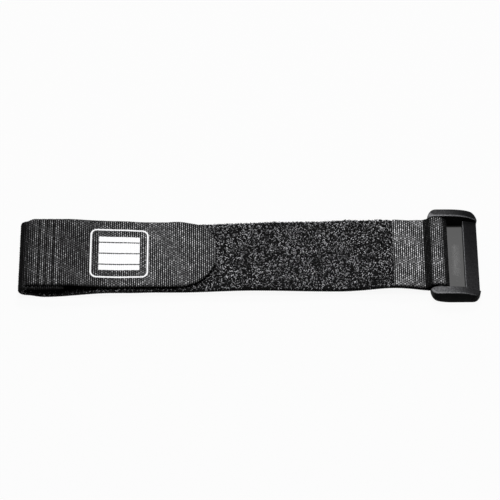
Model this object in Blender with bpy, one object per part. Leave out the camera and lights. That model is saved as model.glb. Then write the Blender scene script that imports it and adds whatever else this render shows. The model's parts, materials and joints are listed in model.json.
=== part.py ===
"""Hook and loop cable tie: a webbing strap with a moulded buckle and a hook tab.

The loop strap runs along X with its pile upwards. At the left it folds back on itself
and carries the hook tape, and at the right it wraps round the bar of the buckle and is
welded down on the run. Units are metres, +Z is up, and the tie lies on z = 0 with its
middle over the origin.
"""

import math

import bpy
import numpy as np

# Webbing
STRAP_WIDTH = 0.0200
WOVEN_THICKNESS = 0.0009
PILE_HEIGHT = 0.0007
CRUSHED_PILE = 0.00005
RIB_PITCH = 0.00054
RIB_DEPTH = 0.00012
TUFT_PITCH = 0.00115
TUFT_RELIEF = 0.00034
LAYER_GAP = 0.0003

# Lie of the loop strap
RUN_LENGTH = 0.1092
FOLD_RADIUS = 0.0022
FOLD_LIFT = 0.0010
FOLDED_END = 0.0099
WRAP_LIFT = 0.0013
CREST_LENGTH = 0.0021
CREST_DROP_LENGTH = 0.0024
TAIL_LENGTH = 0.0123
PILE_FADE = 0.0025
WAVE_HEIGHT = 0.00285
# The strap's waves: share of the run's length, share of the wave height
RUN_WAVES = ((0.043, 0.0), (0.208, 0.667), (0.373, 0.526), (0.538, 0.807), (0.757, 0.491), (0.890, 1.0))

# Hook tape
HOOK_HEIGHT = 0.0005
HOOK_PITCH = 0.0011
TAPE_START = 0.0001
TAPE_LENGTH = 0.0500
TAPE_DROP_LENGTH = 0.0150
NEAR_CORNER_RADIUS = 0.0100
FAR_CORNER_RADIUS = 0.0078

# Welds
WELD_ROWS = 5
WELD_PITCH = 0.00193
WELD_ROW_WIDTH = 0.0007
WELD_DEPTH = 0.00022
WELD_MARGIN = 0.0012

# Buckle
BAR_DIAMETER = 0.0021
BAR_CLEARANCE = 0.0003
SIDE_CLEARANCE = 0.0005
RAIL_WIDTH = 0.00215
RAIL_HEIGHT = 0.0055
RAIL_TIP_HEIGHT = 0.00285
RAIL_SHOULDER_POWER = 3.86
RAIL_EDGE_RADIUS = 0.00035
NOSE_LENGTH = 0.0029
NOSE_HEIGHT = 0.0032
NOSE_TOP_LENGTH = 0.0026
NOSE_TOP_POWER = 2.6
NOSE_BOTTOM_LENGTH = 0.0034
HEEL_RADIUS = 0.0012
NOSE_CORNER_RADIUS = 0.0019
HEEL_CORNER_RADIUS = 0.0018
SLOT_GAP = 0.00425
FREE_BAR_WIDTH = 0.0038
FREE_BAR_THICKNESS = 0.0026
FREE_BAR_FALL = 0.0009
FREE_BAR_EDGE = 0.00035
FREE_BAR_INSET = 0.0001
FREE_BAR_LIFT = 0.00015
ROOT_DEPTH = 0.0006

# Fineness of the round shapes
ARC_STEPS = 24
BAR_SIDES = 32
EDGE_STEPS = 2
SIDE_STEPS = 7
TOP_STEPS = 14
LINE_STEP = 0.00005
TUFT_SEED = 7

# Places worked out from the sizes above
HALF_WIDTH = STRAP_WIDTH / 2
CRUSHED_THICKNESS = WOVEN_THICKNESS + CRUSHED_PILE
WRAP_RADIUS = BAR_DIAMETER / 2 + BAR_CLEARANCE + CRUSHED_THICKNESS
BUCKLE_REACH = WRAP_RADIUS + SLOT_GAP + FREE_BAR_WIDTH + FREE_BAR_INSET
BAR_X = (FOLD_RADIUS + RUN_LENGTH - BUCKLE_REACH) / 2
BAR_Z = WRAP_LIFT + WRAP_RADIUS
FOLD_X = BAR_X - RUN_LENGTH
FOLD_TOP = FOLD_LIFT + 2 * FOLD_RADIUS
FOLDED_END_X = FOLD_X + FOLDED_END
TAPE_START_X = FOLD_X + TAPE_START
TAPE_TIP_X = TAPE_START_X + TAPE_LENGTH
WINDOW_HALF = HALF_WIDTH + SIDE_CLEARANCE
BUCKLE_HALF = WINDOW_HALF + RAIL_WIDTH
WEBBING_BLACK = (0.020, 0.020, 0.022, 1.0)
HOOK_TAPE_BLACK = (0.024, 0.024, 0.026, 1.0)
BUCKLE_BLACK = (0.016, 0.016, 0.018, 1.0)


def clear_scene():
    """Remove every object of the open scene."""
    for thing in list(bpy.data.objects):
        bpy.data.objects.remove(thing, do_unlink=True)


def smooth(value):
    """Ease from 0 to 1 with level ends."""
    held = np.clip(value, 0.0, 1.0)
    return held * held * (3.0 - 2.0 * held)


def ramp(x, start, end):
    """Ease from 0 at start to 1 at end."""
    return smooth((x - start) / (end - start))


def run_underside(x):
    """Height of the run's woven underside at x: eased from wave to wave."""
    knots_x = [FOLD_X] + [FOLD_X + share * RUN_LENGTH for share, _ in RUN_WAVES] + [BAR_X]
    knots_z = [FOLD_LIFT] + [height * WAVE_HEIGHT for _, height in RUN_WAVES] + [WRAP_LIFT]
    height = np.full_like(x, knots_z[0])
    for i in range(len(knots_x) - 1):
        step = ramp(x, knots_x[i], knots_x[i + 1])
        height = height + (knots_z[i + 1] - knots_z[i]) * step
    return height


def tail_top(x):
    """Height of the tail's woven top: it drops from the wrap on to the welded run."""
    welded = run_underside(x) + 2 * CRUSHED_THICKNESS + LAYER_GAP
    crest = WRAP_LIFT + 2 * WRAP_RADIUS
    crest_start = BAR_X - CREST_LENGTH
    rise = ramp(x, crest_start - CREST_DROP_LENGTH, crest_start)
    return welded + (crest - welded) * rise


def span(start, end):
    """Closely spaced values from start to end, both kept."""
    count = max(2, int(abs(end - start) / LINE_STEP))
    return np.linspace(start, end, count)


def arc(centre_x, centre_z, radius, from_angle, to_angle):
    """Points along a round bend, its two ends left out."""
    count = max(3, int(abs(to_angle - from_angle) * radius / LINE_STEP))
    angle = np.linspace(from_angle, to_angle, count)[1:-1]
    return np.column_stack((centre_x + radius * np.cos(angle), centre_z + radius * np.sin(angle)))


def loop_strap_line():
    """Woven face of the loop strap, from its folded end to the tail's end."""
    folded_x = span(FOLDED_END_X, FOLD_X)
    run_x = span(FOLD_X, BAR_X)
    tail_x = span(BAR_X, BAR_X - TAIL_LENGTH)
    folded = np.column_stack((folded_x, np.full_like(folded_x, FOLD_TOP)))
    fold = arc(FOLD_X, FOLD_LIFT + FOLD_RADIUS, FOLD_RADIUS, math.pi / 2, 3 * math.pi / 2)
    run = np.column_stack((run_x, run_underside(run_x)))
    wrap = arc(BAR_X, BAR_Z, WRAP_RADIUS, -math.pi / 2, math.pi / 2)
    tail = np.column_stack((tail_x, tail_top(tail_x)))
    return np.vstack((folded, fold, run, wrap, tail))


def hook_tape_line():
    """Woven top of the hook tape: along the folded end, then down on to the pile."""
    x = span(TAPE_TIP_X, TAPE_START_X)
    over_fold = FOLD_TOP + LAYER_GAP + CRUSHED_THICKNESS
    over_run = run_underside(x) + WOVEN_THICKNESS + PILE_HEIGHT + LAYER_GAP + WOVEN_THICKNESS + HOOK_HEIGHT
    drop_start = FOLDED_END_X + LAYER_GAP
    z = over_fold + (over_run - over_fold) * ramp(x, drop_start, drop_start + TAPE_DROP_LENGTH)
    return np.column_stack((x, z))


def stations(line, step):
    """Points evenly spaced along a line, their distances and the outward normals."""
    distance = np.concatenate(([0.0], np.cumsum(np.hypot(*np.diff(line, axis=0).T))))
    count = max(2, round(distance[-1] / step)) + 1
    at = np.linspace(0.0, distance[-1], count)
    points = np.column_stack([np.interp(at, distance, line[:, i]) for i in range(2)])
    next_at = np.minimum(at + step / 4, distance[-1])
    last_at = np.maximum(at - step / 4, 0.0)
    ahead = np.column_stack([np.interp(next_at, distance, line[:, i]) for i in range(2)])
    behind = np.column_stack([np.interp(last_at, distance, line[:, i]) for i in range(2)])
    along = ahead - behind
    along /= np.hypot(along[:, 0], along[:, 1])[:, None]
    outward = np.column_stack((along[:, 1], -along[:, 0]))
    return points, at, outward


def stitch(first, first_at, second, second_at):
    """Triangles that join two rows of vertices, each given with its places along the row."""
    faces = []
    i = 0
    j = 0
    while i < len(first) - 1 or j < len(second) - 1:
        step_first = j == len(second) - 1
        if i < len(first) - 1 and j < len(second) - 1:
            step_first = first_at[i + 1] <= second_at[j + 1]
        if step_first:
            faces.append((first[i], first[i + 1], second[j]))
            i += 1
        else:
            faces.append((first[i], second[j + 1], second[j]))
            j += 1
    return faces


def band(line, rib_pull, backing, cell, edges, name):
    """A length of webbing: ribs on its face, a grid of tufts or hooks on its back.

    line is the woven face in X and Z. rib_pull gives how far each rib station lies under
    it. backing gives the depth of the back at each place along and across. edges gives
    the near and far edge at each x.
    """
    face, face_at, face_out = stations(line, RIB_PITCH / 2)
    back, back_at, back_out = stations(line, cell)
    face = face - face_out * rib_pull(face, face_at)[:, None]
    columns = max(2, round(STRAP_WIDTH / cell))
    share = np.linspace(0.0, 1.0, columns + 1)
    face_low, face_high = edges(face[:, 0])
    back_low, back_high = edges(back[:, 0])
    depth = backing(back, back_at, share)
    grid_x = back[:, :1] - back_out[:, :1] * depth
    grid_z = back[:, 1:] - back_out[:, 1:] * depth
    grid_y = back_low[:, None] + (back_high - back_low)[:, None] * share
    near = np.column_stack((face[:, 0], face_low, face[:, 1]))
    far = np.column_stack((face[:, 0], face_high, face[:, 1]))
    grid = np.stack((grid_x, grid_y, grid_z), axis=2).reshape(-1, 3)
    near_row = np.arange(len(face))
    far_row = near_row + len(face)
    cells = np.arange(grid.shape[0]).reshape(len(back), columns + 1) + 2 * len(face)
    faces = []
    for i in range(len(face) - 1):
        faces.append((near_row[i], far_row[i], far_row[i + 1], near_row[i + 1]))
    for i in range(len(back) - 1):
        for j in range(columns):
            faces.append((cells[i, j], cells[i + 1, j], cells[i + 1, j + 1], cells[i, j + 1]))
    faces += stitch(near_row, face_at, cells[:, 0], back_at)
    faces += [tri[::-1] for tri in stitch(far_row, face_at, cells[:, -1], back_at)]
    faces += [tri[::-1] for tri in stitch([near_row[0], far_row[0]], (0.0, 1.0), cells[0], share)]
    faces += stitch([near_row[-1], far_row[-1]], (0.0, 1.0), cells[-1], share)
    return new_object(name, np.vstack((near, far, grid)), faces)


def new_object(name, points, faces, origin=(0.0, 0.0, 0.0)):
    """Put a mesh into the scene, with its origin at the given place."""
    mesh = bpy.data.meshes.new(name)
    shifted = np.asarray(points) - np.asarray(origin)
    mesh.from_pydata(shifted.tolist(), [], [tuple(int(corner) for corner in face) for face in faces])
    mesh.validate()
    thing = bpy.data.objects.new(name, mesh)
    thing.location = origin
    bpy.context.scene.collection.objects.link(thing)
    return thing


def in_weld_rows(distance, first_row):
    """1 in the middle of each pressed weld row and 0 between the rows."""
    row = (distance - first_row) / WELD_PITCH
    nearest = np.clip(np.round(row), 0, WELD_ROWS - 1)
    return np.where(np.abs(row - nearest) * WELD_PITCH < WELD_ROW_WIDTH / 2, 1.0, 0.0)


def ribs(distance):
    """Rib relief: every other station lies in a groove."""
    station = np.round(distance / (RIB_PITCH / 2)).astype(int)
    return np.where(station % 2 == 0, 0.0, RIB_DEPTH)


def straight_edges(x):
    """Near and far edge of the full strap."""
    return np.full_like(x, -HALF_WIDTH), np.full_like(x, HALF_WIDTH)


def corner_inset(x, end, radius):
    """How far a rounded corner of the plan draws the edge in, at distance end - x from the end."""
    into = np.clip(x - (end - radius), 0.0, radius)
    return radius - np.sqrt(radius * radius - into * into)


def tape_edges(x):
    """Near and far edge of the hook tape, with its rounded tip."""
    near = -HALF_WIDTH + corner_inset(x, TAPE_TIP_X, NEAR_CORNER_RADIUS)
    far = HALF_WIDTH - corner_inset(x, TAPE_TIP_X, FAR_CORNER_RADIUS)
    return near, far


def loop_strap():
    """The webbing with pile: folded end, run, wrap round the buckle's bar, and tail."""
    line = loop_strap_line()
    total = np.sum(np.hypot(*np.diff(line, axis=0).T))
    tail_end = BAR_X - TAIL_LENGTH
    tufts = np.random.default_rng(TUFT_SEED)

    def rib_pull(points, distance):
        """Grooves between the ribs, and the tail's pressed weld rows."""
        pressed = in_weld_rows(total - distance, WELD_MARGIN)
        return ribs(distance) + (WELD_DEPTH - RIB_DEPTH) * pressed

    def backing(points, distance, share):
        """Woven ground and pile, crushed in the welds and round the bar."""
        after_fold = ramp(distance, FOLDED_END, FOLDED_END + PILE_FADE)
        before_tail = 1.0 - ramp(points[:, 0], tail_end - PILE_FADE, tail_end)
        pile = CRUSHED_PILE + (PILE_HEIGHT - CRUSHED_PILE) * after_fold * before_tail
        relief = TUFT_RELIEF * tufts.random((len(distance), len(share)))
        free = np.clip((pile - TUFT_RELIEF) / PILE_HEIGHT, 0.0, 1.0)
        return WOVEN_THICKNESS + pile[:, None] - relief * free[:, None]

    return band(line, rib_pull, backing, TUFT_PITCH, straight_edges, "loop_strap")


def hook_tape():
    """The webbing with hooks: welded to the folded end, hooks down on the pile."""
    line = hook_tape_line()
    total = np.sum(np.hypot(*np.diff(line, axis=0).T))
    weld_length = FOLDED_END_X - TAPE_START_X

    def rib_pull(points, distance):
        """Grooves between the ribs, and the pressed weld rows."""
        pressed = in_weld_rows(total - distance, WELD_MARGIN)
        return ribs(distance) + (WELD_DEPTH - RIB_DEPTH) * pressed

    def backing(points, distance, share):
        """Woven ground and rows of hooks, crushed in the weld."""
        from_start = total - distance
        hooks = CRUSHED_PILE + (HOOK_HEIGHT - CRUSHED_PILE) * ramp(from_start, weld_length, weld_length + PILE_FADE)
        row = np.arange(len(distance))[:, None]
        column = np.arange(len(share))[None, :]
        low = np.where((row + column) % 2 == 0, 0.0, 0.5)
        free = np.clip((hooks - 2 * CRUSHED_PILE) / HOOK_HEIGHT, 0.0, 1.0)
        return WOVEN_THICKNESS + hooks[:, None] * (1.0 - low * free[:, None])

    return band(line, rib_pull, backing, HOOK_PITCH, tape_edges, "hook_tape")


def rail_stations():
    """Places along a rail, close together where its two ends are round."""
    left = BAR_X - NOSE_LENGTH
    right = BAR_X + BUCKLE_REACH
    bend = 1.0 - np.cos(np.linspace(0.06, math.pi / 2, ARC_STEPS // 2))
    nose = left + NOSE_BOTTOM_LENGTH * bend
    heel = right - HEEL_CORNER_RADIUS * bend[::-1]
    middle = np.linspace(nose[-1], heel[0], TOP_STEPS)[1:-1]
    return np.concatenate((nose, middle, heel))


def rail_heights(x):
    """Bottom and top of a rail's side profile: round nose, long shoulder, round heel."""
    left = BAR_X - NOSE_LENGTH
    right = BAR_X + BUCKLE_REACH
    under = np.clip((left + NOSE_BOTTOM_LENGTH - x) / NOSE_BOTTOM_LENGTH, 0.0, 1.0)
    over = np.clip((left + NOSE_TOP_LENGTH - x) / NOSE_TOP_LENGTH, 0.0, 1.0)
    heel = np.clip((x - right + HEEL_RADIUS) / HEEL_RADIUS, 0.0, 1.0)
    along = np.clip((x - left - NOSE_TOP_LENGTH) / (right - left - NOSE_TOP_LENGTH), 0.0, 1.0)
    bottom = NOSE_HEIGHT * (1.0 - np.sqrt(1.0 - under * under))
    bottom = bottom + HEEL_RADIUS * (1.0 - np.sqrt(1.0 - heel * heel))
    shoulder = RAIL_HEIGHT - (RAIL_HEIGHT - RAIL_TIP_HEIGHT) * along ** RAIL_SHOULDER_POWER
    rounding = (1.0 - over ** NOSE_TOP_POWER) ** (1.0 / NOSE_TOP_POWER)
    top = NOSE_HEIGHT + (shoulder - NOSE_HEIGHT) * rounding
    return bottom, top


def rounded_section(low_y, high_y, low_z, high_z, radius):
    """Rectangle with rounded corners, anticlockwise when seen against X."""
    points = []
    reach = min(radius, 0.45 * (high_y - low_y), 0.45 * (high_z - low_z))
    centres = (
        (high_y - reach, low_z + reach, -math.pi / 2),
        (high_y - reach, high_z - reach, 0.0),
        (low_y + reach, high_z - reach, math.pi / 2),
        (low_y + reach, low_z + reach, math.pi),
    )
    for centre_y, centre_z, start in centres:
        for step in range(EDGE_STEPS + 1):
            angle = start + step * math.pi / 2 / EDGE_STEPS
            points.append((centre_y + reach * math.cos(angle), centre_z + reach * math.sin(angle)))
    return points


def loft(sections):
    """Vertices and faces of a skin through sections of equal count, with both ends closed."""
    count = len(sections[0])
    points = [point for section in sections for point in section]
    faces = [tuple(range(count))[::-1]]
    for i in range(len(sections) - 1):
        for j in range(count):
            k = (j + 1) % count
            faces.append((i * count + j, i * count + k, (i + 1) * count + k, (i + 1) * count + j))
    last = (len(sections) - 1) * count
    faces.append(tuple(range(last, last + count)))
    return points, faces


def rail(side, name):
    """One side rail of the buckle, lofted along X; side is 1 for the far rail, -1 for the near."""
    left = BAR_X - NOSE_LENGTH
    right = BAR_X + BUCKLE_REACH
    x = rail_stations()
    bottom, top = rail_heights(x)
    inset = corner_inset(-x, -left, NOSE_CORNER_RADIUS) + corner_inset(x, right, HEEL_CORNER_RADIUS)
    sections = []
    for i, place in enumerate(x):
        section = rounded_section(WINDOW_HALF, BUCKLE_HALF - inset[i], bottom[i], top[i], RAIL_EDGE_RADIUS)
        sections.append([(place, side * y, z) for y, z in section])
    if side < 0:
        sections = sections[::-1]
    points, faces = loft(sections)
    return new_object(name, points, faces, (BAR_X, 0.0, BAR_Z))


def cross_piece(outline, reach, name):
    """A bar across the buckle: an outline in X and Z drawn from -reach to +reach."""
    sections = [[(x, y, z) for x, z in outline] for y in (reach, -reach)]
    points, faces = loft(sections)
    return new_object(name, points, faces, (BAR_X, 0.0, BAR_Z))


def round_bar():
    """The bar that the strap wraps round."""
    turn = 2 * math.pi / BAR_SIDES
    radius = BAR_DIAMETER / 2
    outline = [(BAR_X + radius * math.cos(i * turn), BAR_Z + radius * math.sin(i * turn)) for i in range(BAR_SIDES)]
    return cross_piece(outline, WINDOW_HALF + ROOT_DEPTH, "round_bar_tool")


def free_bar():
    """The flat bar that the tab is threaded under, its top falling outwards and its heel round."""
    right = BAR_X + BUCKLE_REACH - FREE_BAR_INSET
    left = right - FREE_BAR_WIDTH
    low = FREE_BAR_LIFT
    high = FREE_BAR_LIFT + FREE_BAR_THICKNESS
    outline = []
    corners = (
        (right - HEEL_RADIUS, low + HEEL_RADIUS, HEEL_RADIUS, -math.pi / 2),
        (right - FREE_BAR_EDGE, high - FREE_BAR_FALL - FREE_BAR_EDGE, FREE_BAR_EDGE, 0.0),
        (left + FREE_BAR_EDGE, high - FREE_BAR_EDGE, FREE_BAR_EDGE, math.pi / 2),
        (left + FREE_BAR_EDGE, low + FREE_BAR_EDGE, FREE_BAR_EDGE, math.pi),
    )
    for centre_x, centre_z, radius, start in corners:
        steps = SIDE_STEPS - 1 if radius > FREE_BAR_EDGE else EDGE_STEPS
        for step in range(steps + 1):
            angle = start + step * math.pi / 2 / steps
            outline.append((centre_x + radius * math.cos(angle), centre_z + radius * math.sin(angle)))
    return cross_piece(outline, WINDOW_HALF + ROOT_DEPTH, "free_bar_tool")


def join_solid(base, tool):
    """Join a tool's solid to the base with a live Boolean, and keep the tool as a guide."""
    join = base.modifiers.new("join_" + tool.name, "BOOLEAN")
    join.operation = "UNION"
    join.solver = "EXACT"
    join.object = tool
    tool.hide_render = True
    tool.display_type = "WIRE"


def buckle():
    """One moulding: two rails, the round bar and the free bar. Its origin is on the bar's axis."""
    body = rail(1, "buckle")
    join_solid(body, round_bar())
    join_solid(body, free_bar())
    join_solid(body, rail(-1, "near_rail_tool"))
    return body


def finish(thing, name, colour, roughness, sharp_angle):
    """Give a piece its material and its shading."""
    material = bpy.data.materials.new(name)
    material.use_nodes = True
    shader = material.node_tree.nodes["Principled BSDF"]
    shader.inputs["Base Color"].default_value = colour
    shader.inputs["Roughness"].default_value = roughness
    shader.inputs["Metallic"].default_value = 0.0
    thing.data.materials.append(material)
    thing.data.shade_smooth()
    thing.data.set_sharp_from_angle(angle=math.radians(sharp_angle))


def build():
    """Model the whole tie."""
    clear_scene()
    finish(loop_strap(), "loop_webbing", WEBBING_BLACK, 0.85, 60)
    finish(hook_tape(), "hook_webbing", HOOK_TAPE_BLACK, 0.80, 60)
    finish(buckle(), "buckle_plastic", BUCKLE_BLACK, 0.45, 40)


build()
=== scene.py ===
"""Looks of a hook and loop cable tie: ribbed webbing, looped pile, hooks and a moulded buckle.

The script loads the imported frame, works out each piece as a numpy surface that lies where
the frame's solids lie, dresses the pieces, and sets up the photograph's view. Lengths are
in metres. The tie lies along X with its buckle towards +X.
"""

import json
import logging
import math
from collections.abc import Callable
from dataclasses import dataclass, field
from enum import Enum

import bpy
import numpy as np
from mathutils import Matrix, Vector


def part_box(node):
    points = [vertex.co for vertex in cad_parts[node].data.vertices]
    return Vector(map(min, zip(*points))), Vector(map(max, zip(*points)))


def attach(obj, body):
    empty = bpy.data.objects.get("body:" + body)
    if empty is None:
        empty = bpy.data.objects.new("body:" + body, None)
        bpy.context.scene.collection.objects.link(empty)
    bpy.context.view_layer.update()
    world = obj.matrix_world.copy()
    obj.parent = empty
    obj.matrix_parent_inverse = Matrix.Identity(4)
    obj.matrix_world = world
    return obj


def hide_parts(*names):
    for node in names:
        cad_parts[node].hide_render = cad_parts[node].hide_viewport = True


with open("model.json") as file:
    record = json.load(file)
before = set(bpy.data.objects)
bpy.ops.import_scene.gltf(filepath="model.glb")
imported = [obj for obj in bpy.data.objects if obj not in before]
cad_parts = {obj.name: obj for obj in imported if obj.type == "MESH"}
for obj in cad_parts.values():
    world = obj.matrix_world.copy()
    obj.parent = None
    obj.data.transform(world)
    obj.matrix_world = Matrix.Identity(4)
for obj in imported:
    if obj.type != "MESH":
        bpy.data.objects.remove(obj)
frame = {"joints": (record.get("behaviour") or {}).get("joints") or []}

Array = np.ndarray
Piece, Material = bpy.types.Object, bpy.types.Material
Tree, Node, Socket = bpy.types.NodeTree, bpy.types.Node, bpy.types.NodeSocket
Colour = tuple[float, float, float, float]
Value = Socket | float | Colour
# Slope and start of NodeTree.line(), or start and end of ramp().
Pair = tuple[float, float]
# Low, high, start and end of NodeTree.range().
Carry = tuple[float, float, float, float]
# Pairs of a place and the value there.
Knots = tuple[tuple[float, float], ...]
# From the distance along a webbing to its near and its far edge in Y.
Edges = Callable[[Array], tuple[Array, Array]]
# From the distance along and the place across to the height over the face and the tone.
Relief = Callable[[Array, Array], tuple[Array, Array]]

LOG = logging.getLogger("cable_tie")
GOLDEN = (math.sqrt(5.0) - 1.0) / 2.0


def smooth(value: Array) -> Array:
    """Ease from 0 to 1 with level ends: three squares less two cubes."""
    held = np.clip(value, 0.0, 1.0)
    return held * held * (3.0 - 2.0 * held)


def ramp(x: Array, start: float, end: float) -> Array:
    """Ease from 0 at start to 1 at end."""
    return smooth((np.asarray(x) - start) / (end - start))


def arc(run: Array, radius: float) -> Array:
    """How far a quarter circle has fallen back where a line runs on beside it, 0 to the radius."""
    return radius - np.sqrt(radius**2 - np.clip(run, 0.0, radius) ** 2)


def turned(middle: Pair, radius: float, angle: Array) -> Array:
    """Points of a circle about a middle at the given angles."""
    return np.column_stack(
        (middle[0] + radius * np.cos(angle), middle[1] + radius * np.sin(angle))
    )


def eased(x: Array, knots: Knots) -> Array:
    """Value along x that eases from each knot (place, value) to the next."""
    value = np.full_like(x, knots[0][1])
    for (start, before), (end, after) in zip(knots, knots[1:]):
        value = value + (after - before) * ramp(x, start, end)
    return value


class Shade(Enum):
    """How a mesh is shaded."""

    ROUND = True
    FACETED = False


@dataclass(frozen=True)
class Course:
    """A line in X and Z that webbing follows, with the distance of each point along it."""

    points: Array
    distance: Array

    @classmethod
    def through(cls, points: Array) -> "Course":
        """Measure a line.

        Args:
            points: close points of the line, an N by 2 array of X and Z.

        Returns:
            The course, whose distances are the running sum of its steps.
        """
        steps = np.hypot(*np.diff(points, axis=0).T)
        return cls(points, np.concatenate(([0.0], np.cumsum(steps))))

    @property
    def length(self) -> float:
        """Length of the whole line."""
        return float(self.distance[-1])

    def place(self, s: Array) -> Array:
        """X and Z at distances s, by linear interpolation."""
        return np.stack([np.interp(s, self.distance, way) for way in self.points.T], axis=-1)

    def along(self, s: Array, reach: float = 0.00012) -> Array:
        """Unit direction at distances s: the chord from reach before to reach after."""
        after, before = np.minimum(s + reach, self.length), np.maximum(s - reach, 0.0)
        chord = self.place(after) - self.place(before)
        return chord / np.linalg.norm(chord, axis=-1, keepdims=True)

    def left(self, s: Array) -> Array:
        """Unit normal on the left of the line: its direction turned by a quarter."""
        along = self.along(s)
        return np.stack((-along[..., 1], along[..., 0]), axis=-1)

    def beside(self, offset: float) -> "Course":
        """The course moved to its left by an offset, with the distances kept."""
        return Course(self.points + offset * self.left(self.distance), self.distance)

    def distance_at(self, x: float, s_from: float, s_to: float) -> float:
        """Distance at which the line reaches x, looked for between two distances."""
        inside = (self.distance >= s_from) & (self.distance <= s_to)
        nearest = np.argmin(np.abs(self.points[inside, 0] - x))
        return float(self.distance[inside][nearest])


@dataclass(frozen=True)
class TieLie:
    """How the tie's webbing lies, worked out from the frame's solids and the strap's own sizes.

    The waves of the run are pairs: a share of the way from the fold to the bar, and a share
    of the wave height.
    """

    bar_x: float
    bar_z: float
    left_end: float
    half_width: float
    woven: float = 0.0009
    pile: float = 0.0007
    crushed: float = 0.00005
    layer_gap: float = 0.0003
    bar_radius: float = 0.00105
    bar_clearance: float = 0.0003
    fold_radius: float = 0.0022
    fold_lift: float = 0.0010
    folded_end: float = 0.0099
    wrap_lift: float = 0.0013
    crest_length: float = 0.0021
    crest_drop_length: float = 0.0024
    tail_length: float = 0.0123
    hook_height: float = 0.0005
    tape_start: float = 0.0001
    tape_length: float = 0.0500
    tape_drop_length: float = 0.0150
    wave_height: float = 0.00285
    waves: Knots = (
        (0.043, 0.0), (0.208, 0.667), (0.373, 0.526), (0.538, 0.807), (0.757, 0.491), (0.890, 1.0),
    )
    step: float = 0.00004

    @classmethod
    def of_frame(cls) -> "TieLie":
        """Read the bar's axis and the strap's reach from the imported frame."""
        axis = frame["joints"][0]["pos_m"]
        low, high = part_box("loop_strap")
        return cls(bar_x=axis[0], bar_z=axis[2], left_end=low.x, half_width=(high.y - low.y) / 2)

    @property
    def crushed_thickness(self) -> float:
        """Thickness of the webbing where its pile is crushed."""
        return self.woven + self.crushed

    @property
    def wrap_radius(self) -> float:
        """Outer radius of the wrap round the buckle's bar."""
        return self.bar_radius + self.bar_clearance + self.crushed_thickness

    @property
    def fold_x(self) -> float:
        """Place along X of the fold's axis."""
        return self.left_end + self.fold_radius

    @property
    def fold_top(self) -> float:
        """Height of the folded end's woven face."""
        return self.fold_lift + 2 * self.fold_radius

    @property
    def tape_start_x(self) -> float:
        """Place along X of the hook tape's cut end."""
        return self.fold_x + self.tape_start

    @property
    def tape_tip_x(self) -> float:
        """Place along X of the tab's rounded tip."""
        return self.tape_start_x + self.tape_length

    @property
    def tail_end_x(self) -> float:
        """Place along X of the tail's cut end."""
        return self.bar_x - self.tail_length

    def underside(self, x: Array) -> Array:
        """Height of the run's woven underside: eased from wave to wave."""
        run = self.bar_x - self.fold_x
        waves = [(self.fold_x + way * run, high * self.wave_height) for way, high in self.waves]
        return eased(x, ((self.fold_x, self.fold_lift), *waves, (self.bar_x, self.wrap_lift)))

    def tail_top(self, x: Array) -> Array:
        """Height of the tail's woven top: from the wrap's crest down on to the welded run."""
        welded = self.underside(x) + 2 * self.crushed_thickness + self.layer_gap
        crest = self.wrap_lift + 2 * self.wrap_radius
        crest_start = self.bar_x - self.crest_length
        rise = ramp(x, crest_start - self.crest_drop_length, crest_start)
        return welded + (crest - welded) * rise

    def bend(self, x: float, z: float, radius: float, start: float, end: float) -> Array:
        """Points of a round bend about (x, z), its two ends left out."""
        count = max(3, int(abs(end - start) * radius / self.step))
        return turned((x, z), radius, np.linspace(start, end, count)[1:-1])

    def span(self, start: float, end: float) -> Array:
        """Closely spaced values from start to end."""
        return np.linspace(start, end, max(2, int(abs(end - start) / self.step)))

    def strap_course(self) -> Course:
        """Woven face of the loop strap: folded end, fold, run, wrap and tail."""
        folded_x = self.span(self.fold_x + self.folded_end, self.fold_x)
        run_x = self.span(self.fold_x, self.bar_x)
        tail_x = self.span(self.bar_x, self.tail_end_x)
        quarter, radius = math.pi / 2, self.fold_radius
        parts = (
            np.column_stack((folded_x, np.full_like(folded_x, self.fold_top))),
            self.bend(self.fold_x, self.fold_lift + radius, radius, quarter, 3 * quarter),
            np.column_stack((run_x, self.underside(run_x))),
            self.bend(self.bar_x, self.bar_z, self.wrap_radius, -quarter, quarter),
            np.column_stack((tail_x, self.tail_top(tail_x))),
        )
        return Course.through(np.vstack(parts))

    def tape_course(self) -> Course:
        """Woven top of the hook tape, from its cut end to its tip."""
        x = self.span(self.tape_start_x, self.tape_tip_x)
        over_fold = self.fold_top + self.layer_gap + self.crushed_thickness
        layers = 2 * self.woven + self.pile + self.layer_gap + self.hook_height
        over_run = self.underside(x) + layers
        drop = self.fold_x + self.folded_end + self.layer_gap
        z = over_fold + (over_run - over_fold) * ramp(x, drop, drop + self.tape_drop_length)
        return Course.through(np.column_stack((x, z)))


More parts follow.
